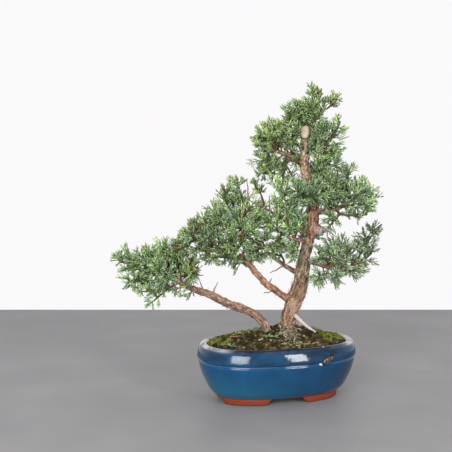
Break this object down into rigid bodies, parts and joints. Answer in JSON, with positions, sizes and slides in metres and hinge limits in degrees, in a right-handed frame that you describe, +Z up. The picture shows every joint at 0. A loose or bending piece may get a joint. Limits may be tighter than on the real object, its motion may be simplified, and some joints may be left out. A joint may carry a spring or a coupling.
{
  "type": "bonsai tree",
  "caption": "Kishu juniper bonsai with a slanting trunk and layered scale-leaf foliage, planted in an oval glazed pot on low cloud feet.",
  "frame": {"origin": "middle of the bounding box at the level of the pot's feet", "axes": "+Z up; +X along the tree's width, towards the side that the trunk leans to; -Y is the front; the pot's long side is turned 16 degrees from +X towards +Y"},
  "size_m": [0.2688, 0.1136, 0.3126],
  "materials": {
    "glazed_clay": "glossy blue glaze with bare clay feet",
    "soil": "granular, matte, partly mossy",
    "screen_plastic": "matte mesh",
    "bark": "rough, flaking in long strips",
    "cut_paste": "matte wound paste",
    "juniper_foliage": "matte scale leaves, blue-green with yellow-green tips"
  },
  "bodies": {
    "root": {"cut_paste_side": "cut_paste", "cut_paste_top": "cut_paste", "drain_screen_1": "screen_plastic", "drain_screen_2": "screen_plastic", "pot": "glazed_clay", "soil": "soil", "spray_centre_front": "juniper_foliage", "spray_centre_high": "juniper_foliage", "spray_centre_left": "juniper_foliage", "spray_centre_near": "juniper_foliage", "spray_crown_back": "juniper_foliage", "spray_crown_front": "juniper_foliage", "spray_crown_inner": "juniper_foliage", "spray_crown_left_back": "juniper_foliage", "spray_crown_left_front": "juniper_foliage", "spray_crown_left_heel": "juniper_foliage", "spray_crown_left_low": "juniper_foliage", "spray_crown_left_tip": "juniper_foliage", "spray_crown_right_heel": "juniper_foliage", "spray_crown_right_inner": "juniper_foliage", "spray_crown_right_low": "juniper_foliage", "spray_crown_right_tip": "juniper_foliage", "spray_crown_shoulder": "juniper_foliage", "spray_dead_sprig": "juniper_foliage", "spray_low_back": "juniper_foliage", "spray_low_belly": "juniper_foliage", "spray_low_crest": "juniper_foliage", "spray_low_drop": "juniper_foliage", "spray_low_front": "juniper_foliage", "spray_low_heel": "juniper_foliage", "spray_low_rear": "juniper_foliage", "spray_low_right_back": "juniper_foliage", "spray_low_right_crest": "juniper_foliage", "spray_low_right_drop": "juniper_foliage", "spray_low_right_inner": "juniper_foliage", "spray_low_right_tip": "juniper_foliage", "spray_low_right_under": "juniper_foliage", "spray_low_tip": "juniper_foliage", "spray_low_upper": "juniper_foliage", "spray_mid_back": "juniper_foliage", "spray_mid_crest": "juniper_foliage", "spray_mid_front": "juniper_foliage", "spray_mid_rise": "juniper_foliage", "spray_mid_tip": "juniper_foliage", "spray_mid_under": "juniper_foliage", "spray_rear_sprig": "juniper_foliage", "spray_right_back": "juniper_foliage", "spray_right_crest": "juniper_foliage", "spray_right_front": "juniper_foliage", "spray_right_tip": "juniper_foliage", "spray_right_under": "juniper_foliage", "spray_third_back": "juniper_foliage", "spray_third_front": "juniper_foliage", "spray_third_right": "juniper_foliage", "spray_third_top": "juniper_foliage", "spray_third_under": "juniper_foliage", "spray_top": "juniper_foliage", "spray_trunk_front": "juniper_foliage", "spray_trunk_left": "juniper_foliage", "wood": "bark"}
  },
  "joints": []
}
